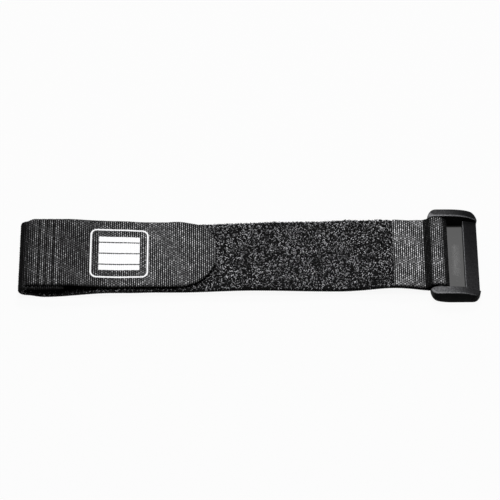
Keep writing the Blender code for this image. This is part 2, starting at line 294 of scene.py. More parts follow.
def mesh_piece(
    name: str,
    points: Array,
    faces: list[Array],
    shade: Shade = Shade.ROUND,
    uv: Array | None = None,
    values: dict[str, Array] | None = None,
) -> Piece:
    """Put a mesh into the scene as one object at the origin.

    Args:
        name: name of the object and its mesh.
        points: K by 3 places of the vertices.
        faces: arrays of vertex numbers, each array one row per face of equal corner count.
        shade: whether the faces are shaded round.
        uv: K by 2 cloth coordinates, one pair per vertex.
        values: further numbers, one per vertex, stored as attributes under their names.

    Returns:
        The new object.
    """
    mesh = bpy.data.meshes.new(name)
    corners = np.concatenate([block.reshape(-1) for block in faces]).astype(np.int32)
    totals = np.concatenate([np.full(len(block), block.shape[1]) for block in faces])
    starts = np.concatenate(([0], np.cumsum(totals)[:-1])).astype(np.int32)
    mesh.vertices.add(len(points))
    mesh.vertices.foreach_set("co", np.asarray(points, np.float32).reshape(-1))
    mesh.loops.add(len(corners))
    mesh.loops.foreach_set("vertex_index", corners)
    mesh.polygons.add(len(totals))
    mesh.polygons.foreach_set("loop_start", starts)
    mesh.polygons.foreach_set("use_smooth", np.full(len(totals), shade.value))
    if uv is not None:
        layer = mesh.uv_layers.new(name="cloth")
        layer.data.foreach_set("uv", np.asarray(uv, np.float32)[corners].reshape(-1))
    for key, numbers in (values or {}).items():
        attribute = mesh.attributes.new(key, "FLOAT", "POINT")
        attribute.data.foreach_set("value", np.asarray(numbers, np.float32).reshape(-1))
    mesh.update(calc_edges=True)
    mesh.validate()
    piece = bpy.data.objects.new(name, mesh)
    bpy.context.scene.collection.objects.link(piece)
    return piece


def ring_faces(rows: int, around: int, flip: bool) -> list[Array]:
    """Faces of a closed tube of rings, with a cap at each end.

    Args:
        rows: number of rings.
        around: number of points round each ring.
        flip: whether to turn the faces over.

    Returns:
        The quads, and the two caps as one face each.
    """
    index = np.arange(rows * around).reshape(rows, around)
    beside = np.roll(index, -1, axis=1)
    quads = np.stack((index[:-1], beside[:-1], beside[1:], index[1:]), axis=-1).reshape(-1, 4)
    caps = [index[:1, ::-1], index[-1:]]
    if flip:
        return [quads[:, ::-1]] + [cap[:, ::-1] for cap in caps]
    return [quads] + caps


@dataclass(frozen=True)
class EdgeLie:
    """How far the two edges of a length of webbing stray outwards along X."""

    far: Knots
    near: Knots
    half_width: float

    def moved(self, x: Array, y: Array) -> Array:
        """How far the webbing is moved in Y: the two edges' ways, blended across."""
        share = np.clip(0.5 + 0.5 * y / self.half_width, 0.0, 1.0)
        return eased(x, self.far) * share - eased(x, self.near) * (1.0 - share)


@dataclass(frozen=True)
class Weave:
    """Ribs across the webbing, each a row of beads that are staggered from rib to rib."""

    rib_pitch: float = 0.00054
    bead_length: float = 0.00070
    rib_relief: float = 0.00019
    roundness: float = 0.95
    bead_share: float = 0.45
    unevenness: float = 0.35
    seed: int = 11
    table_size: tuple[int, int] = (211, 64)

    def crests(self, s: Array, y: Array) -> Array:
        """Height share of the weave, 0 in a groove and 1 on a bead.

        Along the strap a rib is half an ellipse, so that a sharp groove lies between ribs. A
        bead is a cosine across it whose phase turns by half from one rib to the next. Each
        bead has its own share of height from a seeded table.

        Args:
            s: distances along the webbing.
            y: places across it.

        Returns:
            The share at each place.
        """
        rib = s / self.rib_pitch
        number = np.round(rib)
        crest = np.sqrt(1.0 - self.roundness * (2.0 * (rib - number)) ** 2)
        phase = y / self.bead_length + number / 2
        bead = 0.5 + 0.5 * np.cos(2 * np.pi * phase)
        rows, columns = self.table_size
        table = np.random.default_rng(self.seed).random((rows, columns))
        cell = table[number.astype(int) % rows, np.round(phase).astype(int) % columns]
        height = crest * (1.0 - self.bead_share + self.bead_share * bead)
        return height * (1.0 - self.unevenness * cell)


@dataclass(frozen=True)
class Weld:
    """A field of small pressed pits in the webbing."""

    start: float
    end: float
    pitch: float = 0.00193
    depth: float = 0.00016
    # Painted shade: the share by which the tone darkens in the pits.
    pit_shade: float = 0.97
    open_tone: float = 0.8
    pressed_tone: float = 1.35
    flattening: float = 0.30
    nodes: float = 0.20
    border: float = 0.0003

    def pits(self, s: Array, y: Array) -> Array:
        """Share of depth of the pressed grooves, deeper in nodes along them.

        Across the field the groove is a cosine to the fourth power, deepest at start and at
        every pitch from it. Along the groove a squared cosine adds the nodes.

        Args:
            s: distances along the webbing.
            y: places across it.

        Returns:
            The share at each place.
        """
        groove = np.cos(np.pi * (s - self.start) / self.pitch) ** 4
        along = 1.0 - self.nodes + self.nodes * np.cos(np.pi * y / self.pitch) ** 2
        return groove * along * self.inside(s)

    def press(self, height: Array, s: Array, y: Array) -> tuple[Array, Array]:
        """Press a weave's relief.

        Args:
            height: relief of the open weave, in metres.
            s: distances along the webbing.
            y: places across it.

        Returns:
            The relief with the field flattened and pitted, and the tone: bright on the pressed
            yarns, with painted shade darkening the pits.
        """
        inside, pits = self.inside(s), self.pits(s, y)
        tone = self.open_tone + (self.pressed_tone - self.open_tone) * inside
        pressed = height * (1.0 - self.flattening * inside) - self.depth * pits
        return pressed, tone * (1.0 - self.pit_shade * pits)

    def inside(self, s: Array) -> Array:
        """1 inside the field, eased to 0 at its two borders."""
        begun = ramp(s, self.start - self.border, self.start + self.border)
        return begun * (1.0 - ramp(s, self.end - self.border, self.end + self.border))


@dataclass
class Band:
    """A closed length of webbing: a fine face, rounded selvedges and a plain back."""

    course: Course
    thickness: float
    woven_left: bool
    columns: int = 92
    back_columns: int = 5
    edge_steps: int = 5
    sealed: float = 0.0003
    sealed_share: float = 0.55

    @property
    def around(self) -> int:
        """Number of points in one turn round the section."""
        return self.columns + self.back_columns + 2 * self.edge_steps

    def section(self) -> tuple[Array, Array, Array, Array]:
        """One turn round the webbing's section.

        Returns:
            Share of the flat width, sideways part of the round edge, depth below the face
            (0 to 1), and weight of the relief, for each point of the turn.
        """
        share = np.linspace(0.0, 1.0, self.columns)
        angle = np.linspace(0.0, np.pi, self.edge_steps + 2)[1:-1]
        back = np.linspace(1.0, 0.0, self.back_columns)
        round_depth = 0.5 - 0.5 * np.cos(angle)
        fade = 1.0 - angle / np.pi
        across = np.concatenate((share, 0 * angle + 1.0, back, 0 * angle))
        sideways = np.concatenate((0 * share, np.sin(angle), 0 * back, -np.sin(angle)))
        depth = np.concatenate((0 * share, round_depth, 0 * back + 1.0, round_depth[::-1]))
        weight = np.concatenate((0 * share + 1.0, fade, 0 * back, fade[::-1]))
        return across, sideways, depth, weight

    def surface(
        self, s: Array, edges: Edges, relief: Relief, stray: EdgeLie
    ) -> tuple[Array, Array, Array]:
        """Places of the band's points. The band thins at each end, where it is sealed.

        Args:
            s: distances of the rings along the course.
            edges: where the two edges are.
            relief: height and tone of the woven face.
            stray: how the whole band strays in Y.

        Returns:
            The K by 3 points, the K by 2 cloth coordinates and the K tones, which fade
            round the edges to dark: painted shade on the selvedges and the back.
        """
        across, sideways, depth, weight = self.section()
        radius = self.thickness / 2
        near, far = edges(s)
        near, far = near[:, None] + radius, far[:, None] - radius
        rings = np.broadcast_to(s[:, None], (len(s), len(across)))
        y = near + (far - near) * across + radius * sideways
        bump, tone = relief(rings, y)
        end = ramp(np.minimum(s, self.course.length - s), 0.0, self.sealed)
        thin = (self.sealed_share + (1.0 - self.sealed_share) * end)[:, None]
        outward = self.course.left(s) * (1.0 if self.woven_left else -1.0)
        height = bump * weight - self.thickness * (depth * thin + 0.5 * (1.0 - thin))
        place = self.course.place(s)[:, None, :] + outward[:, None, :] * height[..., None]
        x, z = place[..., 0], place[..., 1]
        points = np.stack((x, y + stray.moved(x, y), z), axis=-1)
        uv = np.stack((rings, y), axis=-1)
        # The tone falls with the relief's weight: painted shade round the selvedges and on the
        # back.
        return points.reshape(-1, 3), uv.reshape(-1, 2), (tone * weight**2).reshape(-1)

    def piece(self, name: str, s: Array, edges: Edges, relief: Relief, stray: EdgeLie) -> Piece:
        """Build the band as an object; the arguments are those of surface()."""
        points, uv, tone = self.surface(s, edges, relief, stray)
        faces = ring_faces(len(s), self.around, flip=not self.woven_left)
        return mesh_piece(name, points, faces, uv=uv, values={"tone": tone})


@dataclass(frozen=True)
class Fibres:
    """Many short tubes: loops of pile or moulded hooks, all of the same build."""

    sides: int = 3
    slant: tuple[float, float, float] = (0.31, 0.83, 0.46)
    least: float = 1e-12

    def tubes(self, paths: Array, radius: Array) -> tuple[Array, list[Array]]:
        """Skin every path with a tube.

        A ring stands square to the path: its first axis is the path's direction crossed
        with a fixed slanting line, and its second is square to both.

        Args:
            paths: K by P by 3 points.
            radius: K by P tube radii.

        Returns:
            The points, and the quads and end caps.
        """
        count, steps, _ = paths.shape
        along = np.gradient(paths, axis=1)
        along /= np.linalg.norm(along, axis=-1, keepdims=True) + self.least
        first = np.cross(along, self.slant)
        first /= np.linalg.norm(first, axis=-1, keepdims=True) + self.least
        second = np.cross(along, first)
        turn = (np.arange(self.sides) * 2 * np.pi / self.sides)[:, None]
        ring = first[:, :, None] * np.cos(turn) + second[:, :, None] * np.sin(turn)
        points = paths[:, :, None] + ring * radius[:, :, None, None]
        index = np.arange(count * steps * self.sides).reshape(count, steps, self.sides)
        beside = np.roll(index, -1, axis=2)
        quads = np.stack((index[:, :-1], beside[:, :-1], beside[:, 1:], index[:, 1:]), axis=-1)
        caps = [index[:, 0, ::-1], index[:, -1]]
        return points.reshape(-1, 3), [quads.reshape(-1, 4)] + caps


@dataclass(frozen=True)
class LoopStyle:
    """Size and spread of the pile's loops."""

    span_low: float = 0.00017
    span_high: float = 0.00048
    height_low: float = 0.00034
    height_high: float = 0.00075
    curl: float = 0.00012
    lean: float = 0.00012
    radius_low: float = 0.00006
    radius_high: float = 0.000105
    radius_foot: float = 0.75
    squareness: float = 0.6
    sunk: float = 0.00008
    steps: int = 5

    def local(self, count: int, draw: np.random.Generator) -> tuple[Array, Array]:
        """Loops in their own place: along, across and up.

        A loop is an arch: its foot-to-foot line has a random length and turn, its height is
        the sine to a power below 1, and it curls sideways by a full sine.

        Args:
            count: number of loops.
            draw: source of the random numbers.

        Returns:
            The K by P by 3 points and K by P radii.
        """
        t = np.linspace(0.0, 1.0, self.steps)[None, :]
        span = draw.uniform(self.span_low, self.span_high, (count, 1))
        turn = draw.uniform(0.0, 2 * np.pi, (count, 1))
        height = draw.uniform(self.height_low, self.height_high, (count, 1))
        curl = draw.normal(0.0, self.curl, (count, 1))
        lean = draw.normal(0.0, self.lean, (count, 2, 1))
        line = (t - 0.5) * span
        side = curl * np.sin(2 * np.pi * t)
        arch = np.sin(np.pi * t) ** self.squareness
        along = line * np.cos(turn) - side * np.sin(turn) + lean[:, 0] * arch
        across = line * np.sin(turn) + side * np.cos(turn) + lean[:, 1] * arch
        up = height * arch - self.sunk
        radius = draw.uniform(self.radius_low, self.radius_high, (count, 1))
        thinned = self.radius_foot + (1.0 - self.radius_foot) * arch
        return np.stack((along, across, up), axis=-1), radius * thinned


@dataclass
class Pile:
    """The looped pile of the strap: a lumpy mat and the loops that stand on it."""

    lie: TieLie
    course: Course
    stray: EdgeLie
    style: LoopStyle = field(default_factory=LoopStyle)
    mat_step: float = 0.00028
    mat_back: float = 0.00012
    mat_height: float = 0.00052
    mat_near_inset: float = 0.00018
    mat_far_inset: float = 0.0001
    mat_past_end: float = 0.0008
    mat_seed: int = 5
    lump: float = 0.00016
    loop_inset: float = 0.00015
    loop_reach: float = 0.0003
    loop_base: float = 0.0001
    scatter: float = 0.00011
    golden_reach: float = 2.05
    golden_start: float = -0.985
    bright: Pair = (0.50, 0.78)
    covered_shade_tone: float = 0.5
    rise_share: float = 0.95
    rise_length: float = 0.0025
    fall: Pair = (-0.0008, 0.0004)

    def limit(self, s: Array) -> Array:
        """Highest pile at distance s: full on the run, crushed at the folded end and the tail."""
        x = self.course.place(s)[..., 0]
        folded = self.lie.folded_end
        rise = ramp(s, folded * self.rise_share, folded + self.rise_length)
        return rise * (1.0 - ramp(x - self.lie.tail_end_x, *self.fall))

    def mat(self, end: float) -> Piece:
        """The felted ground of the pile up to a distance, with a seeded roughness."""
        s = np.arange(self.lie.folded_end, end + self.mat_past_end, self.mat_step)
        back = self.course.beside(self.lie.woven + self.mat_back)
        band = Band(back, self.mat_back, woven_left=True, columns=72, back_columns=4, edge_steps=3)
        rough = np.random.default_rng(self.mat_seed).random((len(s), band.around))

        def edges(along: Array) -> tuple[Array, Array]:
            """The mat stops a little inside the selvedges, most at the near one."""
            half = np.full_like(along, self.lie.half_width)
            return self.mat_near_inset - half, half - self.mat_far_inset

        def relief(rings: Array, _: Array) -> tuple[Array, Array]:
            """Height of the mat's lumps above its back."""
            lumps = self.mat_height - self.mat_back + self.lump * (rough - 0.5)
            return lumps * self.limit(rings), rough

        return band.piece("pile_mat", s, edges, relief, self.stray)

    def loops(
        self, name: str, count: int, s_from: float, s_to: float, seed: int, rim: float = 1.0
    ) -> Piece:
        """A stretch of loops.

        On the open run each loop is a step of the golden section across from the one before,
        and a little off its place, which spreads them evenly with no rows.

        Args:
            name: name of the piece.
            count: number of loops.
            s_from: distance along the strap where the stretch starts.
            s_to: distance where it ends.
            seed: seed of the random numbers.
            rim: share of the half width, counted from the edges, that has loops.

        Returns:
            The piece.
        """
        draw = np.random.default_rng(seed)
        half = self.lie.half_width - self.loop_inset
        # Every stretch draws these places, and the open ones then take even places instead.
        s = draw.uniform(s_from, s_to, count)
        depth = draw.uniform(0.0, rim, count)
        y = half * (1.0 - depth) * np.where(draw.random(count) < 0.5, -1.0, 1.0)
        # Painted shade: loops under the tab get a darker tone.
        lit = self.covered_shade_tone
        if rim >= 1.0:
            order, lit = np.arange(count), 1.0
            off = draw.uniform(-self.scatter, self.scatter, (2, count))
            even = s_from + (s_to - s_from) * (order + 0.5) / count
            s = np.clip(even + off[0], s_from, s_to)
            share = self.golden_reach * np.mod(order * GOLDEN, 1.0) + self.golden_start
            y = np.clip(half * share + off[1], -half, half)
        local, radius = self.style.local(count, draw)
        along, up = self.course.along(s)[:, None], self.course.left(s)[:, None]
        high = local[..., 2:] * self.limit(s)[:, None, None]
        base = self.lie.woven + self.loop_base
        xz = self.course.place(s)[:, None] + along * local[..., :1] + up * (high + base)
        across = np.clip(y[:, None] + local[..., 1], -half, half + self.loop_reach)
        x, z = xz[..., 0], xz[..., 1]
        paths = np.stack((x, across + self.stray.moved(x, across), z), axis=-1)
        fibres = Fibres()
        points, faces = fibres.tubes(paths, radius)
        # Painted light and shade: tall loops are lighter and low ones darker; a random share of
        # loops gets the pale painted sheen.
        stand = high.max(axis=(1, 2)) / self.style.height_high
        tone = lit * stand * ramp(draw.random(count), *self.bright)
        tone = np.repeat(tone, self.style.steps * fibres.sides)
        return mesh_piece(name, points, faces, values={"tone": tone})


@dataclass
class Webbing:
    """What the two lengths of webbing share: weave, course, weld and edges."""

    lie: TieLie
    weave: Weave = field(default_factory=Weave)
    far_ways: Knots = ()
    near_ways: Knots = ()
    fine_step: float = 0.000135
    edge_inset: float = 0.00005
    edge_proud: float = 0.00004
    course: Course = field(init=False)
    weld: Weld = field(init=False)

    @property
    def stray(self) -> EdgeLie:
        """How the two edges stray."""
        return EdgeLie(self.far_ways, self.near_ways, self.lie.half_width)

    def selvedge(self, s: Array) -> Array:
        """Half width: straight, with each rib's turn of weft standing a little proud."""
        proud = self.edge_proud * np.cos(2 * np.pi * s / self.weave.rib_pitch)
        return self.lie.half_width - self.edge_inset + proud

    def pressed(self, s: Array, y: Array) -> tuple[Array, Array]:
        """Height of the woven face and its tone, with the weld's field pressed."""
        return self.weld.press(self.weave.rib_relief * (self.weave.crests(s, y) - 1.0), s, y)


@dataclass
class LoopStrap(Webbing):
    """The webbing with pile, from its folded end to the welded tail."""

    coarse_step: float = 0.00027
    under_tab: float = 0.011
    tail_weld: Pair = (0.0076, 0.0001)
    # Painted shade: the face's tone falls where the course turns steep and at the fold.
    steepness: Pair = (0.14, 0.56)
    steep_painted_shade: float = 0.93
    fold_shade_tone: float = 0.14
    fold_shaded: Pair = (0.018, 0.030)
    far_ways: Knots = (
        (-0.060, 0.00025), (-0.044, 0.0), (-0.012, -0.0002), (-0.002, -0.0002), (0.010, 0.0003),
        (0.017, 0.0005), (0.024, 0.0009), (0.0262, 0.0010), (0.030, 0.0005), (0.034, 0.0004),
        (0.0385, 0.0001), (0.0420, 0.00005), (0.0455, 0.00045), (0.0466, 0.0005), (0.048, 0.0002),
    )
    near_ways: Knots = (
        (-0.060, 0.0001), (-0.056, 0.0002), (-0.032, 0.0002), (-0.024, 0.0), (0.030, 0.0),
        (0.037, -0.00015), (0.042, -0.0001), (0.046, 0.0),
    )

    def __post_init__(self) -> None:
        """Work out the course and the weld."""
        self.course = self.lie.strap_course()
        start, end = (self.course.length - left for left in self.tail_weld)
        # The tail weld's pits get less painted shade than the tab's.
        self.weld = Weld(
            start, end, depth=0.00007, pit_shade=0.30, open_tone=1.15, pressed_tone=1.6
        )

    def edges(self, s: Array) -> tuple[Array, Array]:
        """Near and far selvedge."""
        half = self.selvedge(s)
        return -half, half

    def relief(self, s: Array, y: Array) -> tuple[Array, Array]:
        """Height of the woven face and its tone, with painted shade at the fold and on the turns.
        """
        steep = ramp(np.abs(self.course.along(s)[..., 1]), *self.steepness)
        fold = self.fold_shade_tone + (1.0 - self.fold_shade_tone) * ramp(s, *self.fold_shaded)
        height, tone = self.pressed(s, y)
        return height, tone * (1.0 - self.steep_painted_shade * steep) * fold

    def build(self) -> list[Piece]:
        """The rings are fine at both ends, where the face shows, and coarse below the run.

        Returns:
            The strap, its mat and its loops.
        """
        length, distance_at = self.course.length, self.course.distance_at
        run_start = self.lie.folded_end + math.pi * self.lie.fold_radius
        wrap_start = length - self.lie.tail_length - math.pi * self.lie.wrap_radius
        rings = (
            np.arange(0.0, run_start, self.fine_step),
            np.arange(run_start, wrap_start, self.coarse_step),
            np.linspace(wrap_start, length, int((length - wrap_start) / self.fine_step)),
        )
        band = Band(self.course, self.lie.woven, woven_left=False)
        strap = band.piece(
            "loop_webbing_strap", np.concatenate(rings), self.edges, self.relief, self.stray
        )
        pile = Pile(self.lie, self.course, self.stray)
        under_tab = distance_at(self.lie.tape_tip_x - self.under_tab, run_start, wrap_start)
        end = distance_at(self.lie.tail_end_x, run_start, wrap_start)
        first, second, third, last = np.linspace(under_tab, end, 4)
        parts = [
            pile.mat(end),
            pile.loops("pile_loops_left", 7400, first, second, 21),
            pile.loops("pile_loops_middle", 7400, second, third, 22),
            pile.loops("pile_loops_right", 7400, third, last, 24),
            pile.loops("pile_loops_covered", 1500, self.lie.folded_end, under_tab, 23, rim=0.10),
        ]
        return [strap] + parts


@dataclass(frozen=True)
class HookStyle:
    """Size and spread of the tape's hooks, and the strip along its edges that has none."""

    pitch: float = 0.00105
    row_pitch: float = 0.00118
    steps: int = 9
    stem: float = 0.00042
    stem_share: float = 0.4
    bend: float = 0.00013
    turn: float = math.pi * 1.15
    radius: float = 0.00007
    sunk: float = 0.00005
    start: float = 0.0104
    margin: float = 0.0006
    near_margin: float = 0.0008
    edge_margin: float = 0.0007
    flattened: Pair = (0.0100, 0.0130)
    flattened_height: float = 0.1

    def profile(self) -> tuple[Array, Array]:
        """How far down and ahead a hook's points are: a straight stem, then half a turn."""
        t = np.linspace(0.0, 1.0, self.steps)
        rise = np.clip(t / self.stem_share, 0.0, 1.0) * self.stem
        turn = np.clip((t - self.stem_share) / (1.0 - self.stem_share), 0.0, 1.0) * self.turn
        return rise + self.bend * np.sin(turn), self.bend * (1.0 - np.cos(turn))


@dataclass
class HookTape(Webbing):
    """The webbing with hooks: the tab with its round tip."""

    weave: Weave = field(default_factory=lambda: Weave(seed=12))
    hook: HookStyle = field(default_factory=HookStyle)
    near_corner: float = 0.0100
    far_corner: float = 0.0078
    trimmed: Pair = (0.0006, 0.0016)
    # Painted shade: the tone at the tape's cut end.
    cut_shade_tone: float = 0.60
    cut_shaded: float = 0.0030
    weld_field: Pair = (0.0012, 0.0092)
    far_ways: Knots = (
        (-0.060, 0.0003), (-0.048, 0.0002), (-0.034, 0.0002), (-0.028, -0.0001),
        (-0.0225, -0.0001), (-0.019, 0.0001), (-0.0145, -0.00045), (-0.009, -0.0003),
    )
    near_ways: Knots = (
        (-0.060, -0.0004), (-0.050, -0.0003), (-0.035, -0.0003), (-0.028, -0.0005),
        (-0.016, -0.0006), (-0.009, -0.0004),
    )

    def __post_init__(self) -> None:
        """Work out the course and the weld."""
        self.course = self.lie.tape_course()
        self.weld = Weld(*self.weld_field)

    def edges(self, s: Array) -> tuple[Array, Array]:
        """Near and far edge: round at the tip by two arcs, the first far corner trimmed."""
        half, left = self.selvedge(s), self.course.length - s
        depth, length = self.trimmed
        near = arc(self.near_corner - left, self.near_corner)
        far = arc(self.far_corner - left, self.far_corner)
        return near - half, half - far - depth * (1.0 - ramp(s, 0.0, length))

    def relief(self, s: Array, y: Array) -> tuple[Array, Array]:
        """Height of the woven face and its tone, with painted shade near the cut end."""
        height, tone = self.pressed(s, y)
        lit = self.cut_shade_tone + (1.0 - self.cut_shade_tone) * ramp(s, 0.0, self.cut_shaded)
        return height, tone * lit

    def hooks(self) -> Piece:
        """Rows of small hooks, all facing along the tape, every other one the other way."""
        hook, half, last = self.hook, self.lie.half_width, self.course.length - self.hook.margin
        s = np.arange(hook.start, last, hook.pitch)
        y = np.arange(-half + hook.near_margin, half - hook.margin, hook.row_pitch)
        grid_s, grid_y = np.meshgrid(s, y, indexing="ij")
        stagger = (np.arange(len(y)) % 2)[None, :] * hook.pitch / 2
        at, across = (grid_s + stagger).reshape(-1), grid_y.reshape(-1)
        near, far = self.edges(at)
        keep = (across > near + hook.edge_margin) & (across < far - hook.edge_margin) & (at < last)
        at, across = at[keep], across[keep]
        down, ahead = hook.profile()
        facing = np.where(np.arange(len(at)) % 2 == 0, 1.0, -1.0)[:, None]
        full = ramp(at, *hook.flattened)[:, None]
        height = full * (1.0 - hook.flattened_height) + hook.flattened_height
        level = hook.sunk - self.lie.woven - height * down
        along, up = self.course.along(at)[:, None], self.course.left(at)[:, None]
        xz = self.course.place(at)[:, None] + along * (facing * ahead)[..., None]
        xz = xz + up * level[..., None]
        x, z = xz[..., 0], xz[..., 1]
        y_all = np.broadcast_to(across[:, None], x.shape)
        paths = np.stack((x, y_all + self.stray.moved(x, y_all), z), axis=-1)
        points, faces = Fibres(sides=4).tubes(paths, np.full(x.shape, hook.radius))
        return mesh_piece("hook_rows", points, faces, values={"tone": np.full(len(points), 0.5)})

    def build(self) -> list[Piece]:
        """Returns:
            The tape and the rows of hooks.
        """
        s = np.linspace(0.0, self.course.length, int(self.course.length / self.fine_step))
        band = Band(self.course, self.lie.woven, woven_left=True, columns=124)
        tape = band.piece("hook_webbing_tab", s, self.edges, self.relief, self.stray)
        hooks = self.hooks()
        return [tape, hooks]


@dataclass
class Buckle:
    """The moulding: two lofted rails, a round bar and a flat free bar, joined into one skin."""

    lie: TieLie
    side_clearance: float = 0.0005
    rail_height: float = 0.0057
    tip_height: float = 0.00285
    shoulder_power: float = 3.86
    edge_radius: float = 0.0004
    edge_share: float = 0.45
    nose_length: float = 0.0029
    nose_height: float = 0.0032
    nose_top: float = 0.0026
    nose_bottom: float = 0.0060
    heel_radius: float = 0.0012
    nose_corner: float = 0.0021
    heel_corner: float = 0.0021
    free_bar_width: float = 0.0038
    free_bar_thickness: float = 0.0026
    free_bar_fall: float = 0.0009
    nose_power: float = 2.6
    free_bar_edge: float = 0.00035
    free_bar_inset: float = 0.0001
    free_bar_lift: float = 0.00015
    root_depth: float = 0.0006
    edge_steps: int = 5
    first_turn: float = 0.03
    end_rings: int = 22
    middle_rings: int = 24
    bar_sides: int = 64
    smooth_below: float = math.radians(50)

    def __post_init__(self) -> None:
        """Work out where the moulding starts and ends."""
        self.left = self.lie.bar_x - self.nose_length
        self.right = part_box("buckle")[1].x
        self.window_half = self.lie.half_width + self.side_clearance
        self.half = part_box("buckle")[1].y

    def rail_places(self) -> Array:
        """Places of a rail's sections, close together at its round ends."""
        bend = 1.0 - np.cos(np.linspace(self.first_turn, math.pi / 2, self.end_rings))
        nose = self.left + self.nose_bottom * bend
        heel = self.right - self.heel_corner * bend[::-1]
        middle = np.linspace(nose[-1], heel[0], self.middle_rings)[1:-1]
        return np.concatenate((nose, middle, heel))

    def rail_heights(self, x: Array) -> tuple[Array, Array]:
        """Bottom and top of the rail: quarter ellipses at nose and heel, a power curve between."""
        under = np.clip((self.left + self.nose_bottom - x) / self.nose_bottom, 0.0, 1.0)
        over = np.clip((self.left + self.nose_top - x) / self.nose_top, 0.0, 1.0)
        heel = np.clip((x - self.right + self.heel_radius) / self.heel_radius, 0.0, 1.0)
        past_nose = x - self.left - self.nose_top
        along = np.clip(past_nose / (self.right - self.left - self.nose_top), 0.0, 1.0)
        low = self.nose_height * (1.0 - np.sqrt(1.0 - under**2))
        low = low + self.heel_radius * (1.0 - np.sqrt(1.0 - heel**2))
        fall = (self.rail_height - self.tip_height) * along**self.shoulder_power
        round_nose = (1.0 - over**self.nose_power) ** (1 / self.nose_power)
        return low, self.nose_height + (self.rail_height - fall - self.nose_height) * round_nose

    def corner_inset(self, x: Array) -> Array:
        """How far the plan's round corners draw the rail's outer face in."""
        at_nose = arc(self.left + self.nose_corner - x, self.nose_corner)
        return at_nose + arc(x - self.right + self.heel_corner, self.heel_corner)

    def rail(self, side: float, name: str) -> Piece:
        """One rail: rounded rectangles lofted along X, for the far (1) or the near (-1) side."""
        x = self.rail_places()
        low_z, high_z = self.rail_heights(x)
        low_y, high_y = np.full_like(x, self.window_half), self.half - self.corner_inset(x)
        least = np.minimum(high_y - low_y, high_z - low_z)
        reach = np.minimum(self.edge_radius, self.edge_share * least)
        quarter = np.linspace(0.0, math.pi / 2, self.edge_steps + 1)
        starts = (-math.pi / 2, 0.0, math.pi / 2, math.pi)
        angle = np.concatenate([start + quarter for start in starts])
        right = np.repeat((1.0, 1.0, 0.0, 0.0), self.edge_steps + 1)
        top = np.repeat((0.0, 1.0, 1.0, 0.0), self.edge_steps + 1)
        centre_y = np.where(right, (high_y - reach)[:, None], (low_y + reach)[:, None])
        centre_z = np.where(top, (high_z - reach)[:, None], (low_z + reach)[:, None])
        y = centre_y + reach[:, None] * np.cos(angle)
        z = centre_z + reach[:, None] * np.sin(angle)
        points = np.stack((np.broadcast_to(x[:, None], y.shape), side * y, z), axis=-1)
        faces = ring_faces(len(x), len(angle), flip=side < 0)
        return mesh_piece(name, points.reshape(-1, 3), faces)

    def cross_bar(self, outline: Array, name: str) -> Piece:
        """A bar across the buckle: an outline in X and Z carried along Y into both rails."""
        reach = self.window_half + self.root_depth
        ends = np.array([[reach], [-reach]])
        points = np.stack(np.broadcast_arrays(outline[:, 0], ends, outline[:, 1]), axis=-1)
        faces = ring_faces(len(ends), len(outline), flip=False)
        return mesh_piece(name, points.reshape(-1, 3), faces)

    def round_bar(self) -> Piece:
        """The bar in the strap's loop: a circle about the joint's axis."""
        angle = np.linspace(0.0, 2 * math.pi, self.bar_sides, endpoint=False)
        outline = turned((self.lie.bar_x, self.lie.bar_z), self.lie.bar_radius, angle)
        return self.cross_bar(outline, "round_bar_part")

    def free_bar(self) -> Piece:
        """The flat bar: a rectangle with four round corners, the lower right one like the heel."""
        right = self.right - self.free_bar_inset
        left, low = right - self.free_bar_width, self.free_bar_lift
        high, edge, heel = low + self.free_bar_thickness, self.free_bar_edge, self.heel_radius
        corners = (
            (right - heel, low + heel, heel, -math.pi / 2),
            (right - edge, high - self.free_bar_fall - edge, edge, 0.0),
            (left + edge, high - edge, edge, math.pi / 2),
            (left + edge, low + edge, edge, math.pi),
        )
        quarter = np.linspace(0.0, math.pi / 2, self.edge_steps + 2)
        parts = [turned((x, z), radius, start + quarter) for x, z, radius, start in corners]
        return self.cross_bar(np.vstack(parts), "free_bar_part")

    def build(self) -> Piece:
        """Join the four solids into one and apply the joins.

        Returns:
            The moulding.
        """
        body = self.rail(1.0, "buckle_moulding")
        for part in (self.round_bar(), self.free_bar(), self.rail(-1.0, "near_rail_part")):
            join = body.modifiers.new("join", "BOOLEAN")
            join.operation, join.solver, join.object = "UNION", "EXACT", part
            graph = bpy.context.evaluated_depsgraph_get()
            joined = bpy.data.meshes.new_from_object(body.evaluated_get(graph))
            body.modifiers.clear()
            body.data = joined
            bpy.data.objects.remove(part)
        body.data.shade_smooth()
        body.data.set_sharp_from_angle(angle=self.smooth_below)
        return body


